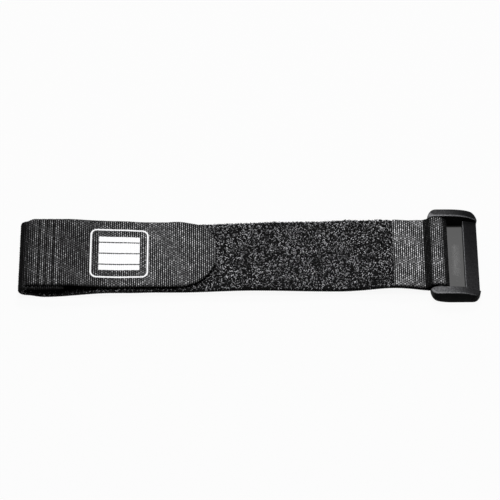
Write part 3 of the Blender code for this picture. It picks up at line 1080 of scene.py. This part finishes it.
class NodeTree:
    """A short way to lay out and link shader nodes in one tree."""

    def __init__(self, tree: Tree) -> None:
        """Keep the tree."""
        self.tree = tree

    def add(self, kind: str, **settings: object) -> Node:
        """Add a node and set its properties.

        Args:
            kind: the node's type without its ShaderNode prefix, or a full type name.
            settings: properties of the node.

        Returns:
            The node.
        """
        node = self.tree.nodes.new(kind if kind.startswith("Node") else "ShaderNode" + kind)
        for key, value in settings.items():
            setattr(node, key, value)
        return node

    def feed(self, node: Node, numbered: dict[int, Value] | None = None, **named: Value) -> Node:
        """Link or set a node's inputs: a socket is linked and a value is set.

        Args:
            node: the node to feed.
            numbered: sockets or values by input number.
            named: sockets or values by input name, with underscores for spaces.

        Returns:
            The same node.
        """
        for key, value in {**(numbered or {}), **named}.items():
            socket = node.inputs[key if isinstance(key, int) else key.replace("_", " ")]
            if isinstance(value, Socket):
                self.tree.links.new(value, socket)
            else:
                socket.default_value = value
        return node

    def math(self, operation: str, *values: Value) -> Socket:
        """Result of a math node on sockets or numbers."""
        return self.feed(self.add("Math", operation=operation), dict(enumerate(values))).outputs[0]

    def times(self, first: Value, *others: Value) -> Socket:
        """Product of sockets or numbers."""
        for other in others:
            first = self.math("MULTIPLY", first, other)
        return first

    def minus(self, first: Value, second: Value) -> Socket:
        """First less second."""
        return self.math("SUBTRACT", first, second)

    def distance(self, first: Value, second: Value = 0.0) -> Socket:
        """How far first is from second, whichever is greater."""
        return self.math("ABSOLUTE", self.minus(first, second))

    def line(self, value: Value, slope: Value, start: Value) -> Socket:
        """Value times slope, plus start."""
        return self.math("MULTIPLY_ADD", value, slope, start)

    def mix(self, share: Value, first: Value, second: Value) -> Socket:
        """Colour between first and second by share."""
        node = self.add("Mix", data_type="RGBA")
        return self.feed(node, {0: share, 6: first, 7: second}).outputs[2]

    def range(self, value: Value, low: float, high: float, start: float, end: float) -> Socket:
        """Value eased from start, at low, to end, at high, and held outside them."""
        node = self.add("MapRange", interpolation_type="SMOOTHSTEP")
        return self.feed(node, dict(enumerate((value, low, high, start, end)))).outputs[0]

    def split(self, vector: Socket) -> list[Socket]:
        """X, Y and Z of a vector."""
        return list(self.feed(self.add("SeparateXYZ"), Vector=vector).outputs)

    def join(self, x: Value, y: Value, z: Value = 0.0) -> Socket:
        """Vector of X, Y and Z."""
        return self.feed(self.add("CombineXYZ"), X=x, Y=y, Z=z).outputs[0]

    def noise(self, place: Socket, scale: Value, detail: float) -> Socket:
        """Smooth noise at a place."""
        node = self.add("TexNoise")
        return self.feed(node, Vector=place, Scale=scale, Detail=detail).outputs["Fac"]

    def bump(self, height: Socket, strength: float, depth: float) -> Socket:
        """Normal bent by a height."""
        node = self.add("Bump")
        return self.feed(node, Height=height, Strength=strength, Distance=depth).outputs[0]

    def use(self, group: Tree, **inputs: Value) -> bpy.types.NodeOutputs:
        """Outputs of a shared group that is fed with inputs."""
        return self.feed(self.add("Group", node_tree=group), **inputs).outputs

    def tone(self) -> Socket:
        """The mesh's tone attribute, with its painted shade and light."""
        return self.add("Attribute", attribute_name="tone").outputs["Fac"]


class SharedEffects:
    """Node groups that more than one material uses, each built once."""

    def __init__(self) -> None:
        """Build the groups."""
        self.yarn = self.yarn_group()
        self.mottle = self.mottle_group()
        self.beads = self.beads_group()

    @staticmethod
    def group(
        name: str, inputs: dict[str, float], outputs: tuple[str, ...]
    ) -> tuple[NodeTree, bpy.types.NodeOutputs, Node]:
        """An empty group.

        Args:
            name: name of the group.
            inputs: float inputs with their first values, besides a vector named Place.
            outputs: names of the float outputs.

        Returns:
            The group's nodes, what it is given, and its end node.
        """
        tree = bpy.data.node_groups.new(name, "ShaderNodeTree")
        tree.interface.new_socket("Place", in_out="INPUT", socket_type="NodeSocketVector")
        for key, value in inputs.items():
            socket = tree.interface.new_socket(key, in_out="INPUT", socket_type="NodeSocketFloat")
            socket.default_value = value
        for key in outputs:
            tree.interface.new_socket(key, in_out="OUTPUT", socket_type="NodeSocketFloat")
        nodes = NodeTree(tree)
        return nodes, nodes.add("NodeGroupInput").outputs, nodes.add("NodeGroupOutput")

    def yarn_group(self) -> Tree:
        """Fine filaments of yarn: noise drawn out along the yarn. Gives Height and Glint."""
        inputs = {"Fineness": 9000.0, "Stretch": 0.15}
        nodes, given, end = self.group("yarn_filaments", inputs, ("Height", "Glint"))
        x, y, z = nodes.split(given["Place"])
        drawn = nodes.join(x, nodes.times(y, given["Stretch"]), z)
        glint = nodes.noise(given["Place"], 2300.0, 2.0)
        height = nodes.noise(drawn, given["Fineness"], 3.0)
        nodes.feed(end, Height=height, Glint=nodes.range(glint, 0.42, 0.68, 0.0, 1.0))
        return nodes.tree

    def beads_group(self) -> Tree:
        """Beads of the weave on cloth coordinates. Gives Crest, the bead's profile, and Speck.

        The place along the cloth over the rib pitch is rounded to the rib's number, and the
        place across over the bead length, turned by half from rib to rib, to the bead's.
        Crest falls from 1 to 0 with the distance from the bead's middle both ways. Speck is
        a random number of the bead's own.
        """
        inputs = {"Rib Pitch": Weave.rib_pitch, "Bead Length": Weave.bead_length}
        nodes, given, end = self.group("weave_beads", inputs, ("Crest", "Speck"))
        x, y, _ = nodes.split(given["Place"])
        rib = nodes.math("DIVIDE", x, given["Rib Pitch"])
        number = nodes.math("ROUND", rib)
        phase = nodes.line(number, 0.5, nodes.math("DIVIDE", y, given["Bead Length"]))
        cell = nodes.math("ROUND", phase)
        along = nodes.range(nodes.distance(rib, number), 0.02, 0.30, 1.0, 0.0)
        across = nodes.range(nodes.distance(phase, cell), 0.12, 0.46, 1.0, 0.20)
        speck = nodes.add("TexWhiteNoise", noise_dimensions="2D")
        nodes.feed(speck, Vector=nodes.join(number, cell))
        nodes.feed(end, Crest=nodes.times(along, across), Speck=speck.outputs["Value"])
        return nodes.tree

    def mottle_group(self) -> Tree:
        """Slow unevenness of a surface. Gives Value."""
        nodes, given, end = self.group("mottle", {"Scale": 120.0}, ("Value",))
        slow = nodes.noise(given["Place"], given["Scale"], 4.0)
        nodes.feed(end, Value=nodes.range(slow, 0.3, 0.7, 0.0, 1.0))
        return nodes.tree


def new_material(name: str) -> tuple[Material, NodeTree, Node]:
    """A material with its node tree and its Principled shader."""
    material = bpy.data.materials.new(name)
    material.use_nodes = True
    nodes = NodeTree(material.node_tree)
    return material, nodes, material.node_tree.nodes["Principled BSDF"]


@dataclass(frozen=True)
class WriteOnPatch:
    """A printed write-on patch: a rounded outline round a white panel with ruled lines."""

    centre_s: float
    centre_y: float = -0.0001
    half_length: float = 0.0075
    half_width: float = 0.0071
    corner: float = 0.0016
    line: float = 0.00042
    panel_half_length: float = 0.0054
    panel_half_width: float = 0.0050
    rule_pitch: float = 0.0033
    rule_shift: float = 10.5
    rule_width: float = 0.00035
    soft: float = 0.00006
    thinned: Carry = (0.0, 0.2, 0.90, 1.0)
    ink: Colour = (0.90, 0.90, 0.91, 1.0)

    def within(self, nodes: NodeTree, distance: Socket, half: float) -> Socket:
        """1 where a distance is under half a width, eased to 0 past it."""
        return nodes.range(distance, half - self.soft, half + self.soft, 1.0, 0.0)

    def mask(self, nodes: NodeTree, cloth: Socket, crest: Socket) -> Socket:
        """Where the ink is.

        The outline is the band where the distance to a rounded oblong is under half a line.
        The panel is a plain rectangle, less the ruled lines that cross it.

        Args:
            nodes: the material's nodes.
            cloth: the cloth coordinates.
            crest: profile of the weave's beads, which thins the ink in the grooves.

        Returns:
            The share of ink.
        """
        x, y, _ = nodes.split(cloth)
        u, v = nodes.distance(x, self.centre_s), nodes.distance(y, self.centre_y)
        over_u = nodes.minus(u, self.half_length - self.corner)
        over_v = nodes.minus(v, self.half_width - self.corner)
        past_u, past_v = (nodes.math("MAXIMUM", over, 0.0) for over in (over_u, over_v))
        past = nodes.math("SQRT", nodes.line(past_u, past_u, nodes.times(past_v, past_v)))
        inside = nodes.math("MINIMUM", nodes.math("MAXIMUM", over_u, over_v), 0.0)
        off = nodes.distance(nodes.math("ADD", past, inside), self.corner)
        panel = nodes.times(
            self.within(nodes, u, self.panel_half_length),
            self.within(nodes, v, self.panel_half_width),
        )
        shifted = nodes.minus(y, self.centre_y - self.rule_pitch * self.rule_shift)
        between = nodes.math("PINGPONG", shifted, self.rule_pitch)
        to_rule = nodes.distance(between, self.rule_pitch / 2)
        ruled = nodes.minus(1.0, self.within(nodes, to_rule, self.rule_width / 2))
        outline = self.within(nodes, off, self.line / 2)
        printed = nodes.math("MAXIMUM", outline, nodes.times(panel, ruled))
        return nodes.times(printed, nodes.range(crest, *self.thinned))


@dataclass(frozen=True)
class WovenFinish:
    """Black filament yarn, woven: painted shade between the beads and painted highlights and
    glints on them.
    """

    name: str
    # The groove colour is painted shade and the crest colour a painted highlight on the black
    # yarn.
    groove: Colour = (0.001, 0.001, 0.0011, 1.0)
    crest: Colour = (0.90, 0.90, 0.92, 1.0)
    crest_roughness: float = 0.42
    groove_roughness: float = 0.90
    specular: float = 0.08
    # Painted shade: the tone along the cloth's first stretch, eased to full between dimmed_to and
    # full_from.
    start_shade_tone: float = 1.0
    full: float = 1.0
    dimmed_to: float = 0.014
    full_from: float = 0.030
    mottle_scale: float = 160.0
    speck_power: float = 1.8
    speck_line: Pair = (0.70, 0.30)
    glint_line: Pair = (0.6, 0.6)
    mottle_line: Pair = (0.4, 0.8)
    bump_strength: float = 0.4
    bump_depth: float = 0.00003

    def make(self, effects: SharedEffects, patch: WriteOnPatch | None = None) -> Material:
        """Build the material.

        Args:
            effects: the shared node groups.
            patch: a printed patch, or None for bare webbing.

        Returns:
            The material.
        """
        material, nodes, shader = new_material(self.name)
        cloth = nodes.add("UVMap", uv_map="cloth").outputs[0]
        yarn, beads = nodes.use(effects.yarn, Place=cloth), nodes.use(effects.beads, Place=cloth)
        mottle = nodes.use(effects.mottle, Place=cloth, Scale=self.mottle_scale)["Value"]
        # Painted glints: each bead's random speck and the yarn's glint noise lighten the beads;
        # mottle is the yarn's own unevenness.
        own = nodes.line(nodes.math("POWER", beads["Speck"], self.speck_power), *self.speck_line)
        painted_glint = nodes.line(yarn["Glint"], *self.glint_line)
        uneven = nodes.line(mottle, *self.mottle_line)
        along = nodes.split(cloth)[0]
        # Painted shade on the first stretch along the cloth.
        dim = nodes.range(along, self.dimmed_to, self.full_from, self.start_shade_tone, self.full)
        share = nodes.times(own, painted_glint, uneven, nodes.tone(), beads["Crest"], dim)
        colour = nodes.mix(share, self.groove, self.crest)
        if patch is not None:
            colour = nodes.mix(patch.mask(nodes, cloth, beads["Crest"]), colour, patch.ink)
        rough = nodes.range(beads["Crest"], 0.0, 1.0, self.groove_roughness, self.crest_roughness)
        normal = nodes.bump(yarn["Height"], self.bump_strength, self.bump_depth)
        nodes.feed(shader, Base_Color=colour, Roughness=rough, Normal=normal)
        nodes.feed(shader, Specular_IOR_Level=self.specular)
        return material


@dataclass(frozen=True)
class FibreFinish:
    """Loose filaments: pile loops, their mat, or hooks."""

    name: str
    dark: Colour
    light: Colour
    roughness: float
    specular: float = 0.5
    mottle_scale: float = 300.0
    mottle_line: Pair = (0.8, 0.4)
    bump_strength: float = 0.25
    bump_depth: float = 0.00002

    def make(self, effects: SharedEffects) -> Material:
        """Build the material: each filament has its mesh tone, mottled along its length."""
        material, nodes, shader = new_material(self.name)
        place = nodes.add("TexCoord").outputs["Object"]
        mottle = nodes.use(effects.mottle, Place=place, Scale=self.mottle_scale)["Value"]
        height = nodes.use(effects.yarn, Place=place)["Height"]
        share = nodes.times(nodes.tone(), nodes.line(mottle, *self.mottle_line))
        normal = nodes.bump(height, self.bump_strength, self.bump_depth)
        nodes.feed(shader, Base_Color=nodes.mix(share, self.dark, self.light), Normal=normal)
        nodes.feed(shader, Roughness=self.roughness, Specular_IOR_Level=self.specular)
        return material


@dataclass(frozen=True)
class MouldedFinish:
    """Black moulded plastic with a fine grain and painted highlights on its upper faces and edges.
    """

    name: str
    base: Colour = (0.003, 0.003, 0.0034, 1.0)
    # Painted highlights: the pale colour on upper faces and on edges facing the strap and near
    # side.
    highlight_colour: Colour = (0.24, 0.24, 0.25, 1.0)
    face_share: float = 0.45
    roughness: float = 0.34
    roughness_spread: float = 0.12
    specular: float = 0.03
    # Painted shade: the share by which the near rail's front reflects less.
    front_shade: float = 0.73
    upper: Carry = (0.2, 0.9, 0.0, 1.0)
    towards_strap: Carry = (0.0490, 0.0590, 1.0, 0.17)
    towards_near: Carry = (-0.0110, 0.0110, 1.0, 0.32)
    tilt_share: float = 0.35
    tilted: Carry = (-0.30, -0.06, 1.0, 0.0)
    high: Carry = (0.25, 0.55, 0.0, 1.0)
    on_rail: Carry = (0.0100, 0.0108, 0.0, 1.0)
    edge_fading: Carry = (0.0500, 0.0600, 0.0, 0.75)
    front: Carry = (-0.90, -0.50, 1.0, 0.0)
    near_side: Carry = (-0.0115, -0.0105, 1.0, 0.0)
    mottle_scale: float = 420.0
    grain_scale: float = 3600.0
    grain_contrast: Carry = (0.35, 0.65, 0.55, 1.3)
    bump_strength: float = 0.35
    bump_depth: float = 0.00004

    def painted_highlight(self, nodes: NodeTree, normal: list[Socket], at: list[Socket]) -> Socket:
        """How much painted highlight a place gets, by its facing and place in the part's own
        frame.

        The upper faces get most at the strap's end of the near rail. The upper edges that
        face the strap and the near side get more.

        Args:
            nodes: the material's nodes.
            normal: X, Y and Z of the direction that the surface faces.
            at: X, Y and Z of the place.

        Returns:
            The share, 0 to 1.
        """
        upper = nodes.range(normal[2], *self.upper)
        to_strap = nodes.range(at[0], *self.towards_strap)
        to_near = nodes.range(at[1], *self.towards_near)
        tilt = nodes.line(normal[0], self.tilt_share, normal[1])
        edge = nodes.times(nodes.range(tilt, *self.tilted), nodes.range(normal[2], *self.high))
        on_rail = nodes.range(nodes.distance(at[1]), *self.on_rail)
        faded = nodes.times(on_rail, nodes.range(at[0], *self.edge_fading))
        lit_faces = nodes.times(upper, to_strap, to_near, self.face_share)
        return nodes.math("MAXIMUM", lit_faces, nodes.times(edge, nodes.minus(1.0, faded)))

    def make(self, effects: SharedEffects) -> Material:
        """Build the material: painted highlights above, and painted shade on the near rail's
        front.
        """
        material, nodes, shader = new_material(self.name)
        part = nodes.add("TexCoord").outputs
        normal, at = nodes.split(part["Normal"]), nodes.split(part["Object"])
        mottle = nodes.use(effects.mottle, Place=part["Object"], Scale=self.mottle_scale)["Value"]
        grain = nodes.noise(part["Object"], self.grain_scale, 3.0)
        dullest = self.roughness + self.roughness_spread
        front_shade_drop = -self.front_shade * self.specular
        painted_highlight = self.painted_highlight(nodes, normal, at)
        patchy_highlight = nodes.times(painted_highlight, nodes.range(grain, *self.grain_contrast))
        # Painted shade: the near rail's front face reflects less.
        front = nodes.times(
            nodes.range(normal[1], *self.front), nodes.range(at[1], *self.near_side)
        )
        nodes.feed(
            shader,
            Base_Color=nodes.mix(patchy_highlight, self.base, self.highlight_colour),
            Roughness=nodes.range(mottle, 0.0, 1.0, self.roughness, dullest),
            Normal=nodes.bump(grain, self.bump_strength, self.bump_depth),
            Specular_IOR_Level=nodes.line(front, front_shade_drop, self.specular),
        )
        return material


def dress(pieces: list[Piece], material: Material, body: str, node: str) -> None:
    """Give pieces their material and body, and hide the frame's node that they stand for.

    Args:
        pieces: the pieces to dress.
        material: their material.
        body: the frame's body that they ride on.
        node: the frame's node that they replace.
    """
    for piece in pieces:
        piece.data.materials.clear()
        piece.data.materials.append(material)
        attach(piece, body)
        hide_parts(node)
        LOG.info("%s: %d faces on %s", piece.name, len(piece.data.polygons), body)


@dataclass(frozen=True)
class Studio:
    """Pale floor, soft light from behind and above, and the photograph's view."""

    elevation: float = math.radians(61.5)
    roll: float = math.radians(0.45)
    distance: float = 0.600
    target: tuple[float, float, float] = (0.00027, 0.0037, 0.0)
    pixels_per_metre: float = 3745.0
    frame_pixels: float = 500.0
    sensor_mm: float = 36.0
    clip: Pair = (0.01, 10.0)
    key_power: float = 1.7
    key_size: float = 0.15
    key_elevation: float = math.radians(62.0)
    top_power: float = 2.8
    top_size: float = 0.10
    lamp_distance: float = 0.62
    lamp_lean: float = math.radians(2.0)
    sky: float = 0.06
    white_share: float = 0.93
    glossy_share: float = 0.2
    floor_pale: Colour = (0.55, 0.55, 0.55, 1.0)
    floor_dark: Colour = (0.02, 0.02, 0.02, 1.0)
    floor_roughness: float = 0.9
    floor_specular: float = 0.1
    floor_radius: float = 1.5
    wall_height: float = 0.6
    wall_sides: int = 96
    slot_x: float = 0.0549
    slot_half_x: float = 0.0036
    slot_half_y: float = 0.0122
    slot_soft: float = 0.0008
    slot_sky_reach: float = 0.007
    slot_hidden: Carry = (0.68, 0.86, 1.0, 0.0)
    slot_shade: Carry = (0.0099, 0.0104, 0.885, 0.995)

    def camera(self) -> None:
        """Set the camera by its angle, distance and scale in the picture."""
        data = bpy.data.cameras.new("view")
        data.sensor_width = self.sensor_mm
        data.lens = self.pixels_per_metre * self.distance / self.frame_pixels * self.sensor_mm
        data.clip_start, data.clip_end = self.clip
        back = Vector((0.0, -math.cos(self.elevation), math.sin(self.elevation)))
        side = Vector((1.0, 0.0, 0.0))
        up = back.cross(side)
        turned_side = side * math.cos(self.roll) - up * math.sin(self.roll)
        turned_up = side * math.sin(self.roll) + up * math.cos(self.roll)
        turn = Matrix((turned_side, turned_up, back)).transposed().to_4x4()
        view = bpy.data.objects.new("view", data)
        view.matrix_world = Matrix.Translation(Vector(self.target) + back * self.distance) @ turn
        bpy.context.scene.collection.objects.link(view)
        bpy.context.scene.camera = view

    def lamp(self, name: str, elevation: float, size: float, power: float) -> None:
        """A square area lamp behind the tie, a little to the right, turned to the origin."""
        data = bpy.data.lights.new(name, "AREA")
        data.size, data.energy = size, power
        level = math.cos(self.lamp_lean)
        lamp = bpy.data.objects.new(name, data)
        lamp.location = self.lamp_distance * Vector(
            (math.sin(self.lamp_lean), level * math.cos(elevation), level * math.sin(elevation))
        )
        lamp.rotation_euler = lamp.location.to_track_quat("Z", "Y").to_euler()
        bpy.context.scene.collection.objects.link(lamp)

    def world(self) -> None:
        """Plain, dim surroundings."""
        world = bpy.data.worlds.new("surroundings")
        world.use_nodes = True
        background = world.node_tree.nodes["Background"]
        background.inputs["Color"].default_value = (1.0, 1.0, 1.0, 1.0)
        background.inputs["Strength"].default_value = self.sky
        bpy.context.scene.world = world

    def shade_in_slot(self, nodes: NodeTree) -> Socket:
        """Brightness of the floor: deep shade where the buckle's slot closes it in, else 1.

        The shade is a soft box on Object coordinates times how much of the sky is hidden.

        Args:
            nodes: the floor material's nodes.

        Returns:
            The brightness.
        """
        x, y, _ = nodes.split(nodes.add("TexCoord").outputs["Object"])
        sides = (
            (nodes.distance(x, self.slot_x), self.slot_half_x),
            (nodes.distance(y), self.slot_half_y),
        )
        box = (nodes.range(way, half - self.slot_soft, half, 1.0, 0.0) for way, half in sides)
        sky = nodes.feed(nodes.add("AmbientOcclusion", samples=16), Distance=self.slot_sky_reach)
        hidden = nodes.range(sky.outputs["AO"], *self.slot_hidden)
        shade = nodes.times(*box, hidden, nodes.range(y, *self.slot_shade))
        return nodes.minus(1.0, shade)

    def paint(self) -> Material:
        """Pale paint of floor and wall: nearly plain white to the camera, so shadows are faint."""
        material, nodes, shader = new_material("floor_paint")
        path = nodes.add("LightPath").outputs
        seen = nodes.math("MAXIMUM", path["Is Camera Ray"], path["Is Transmission Ray"])
        mirrored = nodes.times(path["Is Glossy Ray"], self.glossy_share)
        share = nodes.math("MAXIMUM", nodes.times(seen, self.white_share), mirrored)
        level = self.shade_in_slot(nodes)
        white = nodes.feed(nodes.add("Emission"), Strength=level)
        nodes.feed(shader, Base_Color=nodes.mix(level, self.floor_dark, self.floor_pale))
        nodes.feed(shader, Roughness=self.floor_roughness, Specular_IOR_Level=self.floor_specular)
        shaders = {0: share, 1: shader.outputs[0], 2: white.outputs[0]}
        blend = nodes.feed(nodes.add("MixShader"), shaders)
        nodes.feed(material.node_tree.nodes["Material Output"], Surface=blend.outputs[0])
        return material

    def backdrop(self) -> None:
        """A wide pale floor with a low round wall about it: a profile turned about Z."""
        index = np.arange(self.wall_sides)
        turn = index * 2 * math.pi / self.wall_sides
        ring = self.floor_radius * np.column_stack((np.cos(turn), np.sin(turn)))
        heights = (0.0, self.wall_height)
        points = [np.column_stack((ring, np.full(len(ring), height))) for height in heights]
        beside = np.roll(index, -1)
        wall = np.stack((index + len(ring), beside + len(ring), beside, index), axis=-1)
        floor = [index[None, :], wall]
        ground = mesh_piece("floor", np.vstack(points), floor, shade=Shade.FACETED)
        ground.data.materials.append(self.paint())

    def build(self) -> None:
        """Set up the whole studio."""
        bpy.context.scene.view_settings.view_transform = "Standard"
        self.camera()
        self.lamp("key", self.key_elevation, self.key_size, self.key_power)
        self.lamp("overhead", math.pi / 2, self.top_size, self.top_power)
        self.world()
        self.backdrop()


def main() -> None:
    """Build the tie's pieces in order, dress them and set up the studio."""
    logging.basicConfig(level=logging.INFO, format="%(name)s: %(message)s")
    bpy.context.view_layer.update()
    lie = TieLie.of_frame()
    effects = SharedEffects()
    strap = LoopStrap(lie).build()
    tab, hooks = HookTape(lie).build()
    moulding = Buckle(lie).build()
    black = (0.001, 0.001, 0.0011, 1.0)
    woven = WovenFinish("loop_webbing_cloth")
    # The loops' pale colour is a painted sheen on black yarn, and the mat's near-black is painted
    # shade deep in the pile.
    mat = FibreFinish("pile_ground", black, (0.006, 0.006, 0.0065, 1.0), 0.8, specular=0.1)
    loops = FibreFinish("pile_filament", black, (0.85, 0.85, 0.88, 1.0), 0.40, specular=0.1)
    nylon = FibreFinish(
        "hook_filament", (0.010, 0.010, 0.011, 1.0), (0.030, 0.030, 0.032, 1.0), 0.35
    )
    # The tab is darker over the fold: painted shade.
    hooked = WovenFinish("hook_webbing_cloth", start_shade_tone=0.58, full=1.16)
    printed = hooked.make(effects, WriteOnPatch(centre_s=0.0244))
    plastic = MouldedFinish("moulded_black").make(effects)
    dress(strap[:1], woven.make(effects), "strap", "loop_strap")
    dress(strap[1:2], mat.make(effects), "strap", "loop_strap")
    dress(strap[2:], loops.make(effects), "strap", "loop_strap")
    dress([tab], printed, "strap", "hook_tape")
    dress([hooks], nylon.make(effects), "strap", "hook_tape")
    dress([moulding], plastic, "buckle", "buckle")
    Studio().build()


if __name__ == "__main__":
    main()
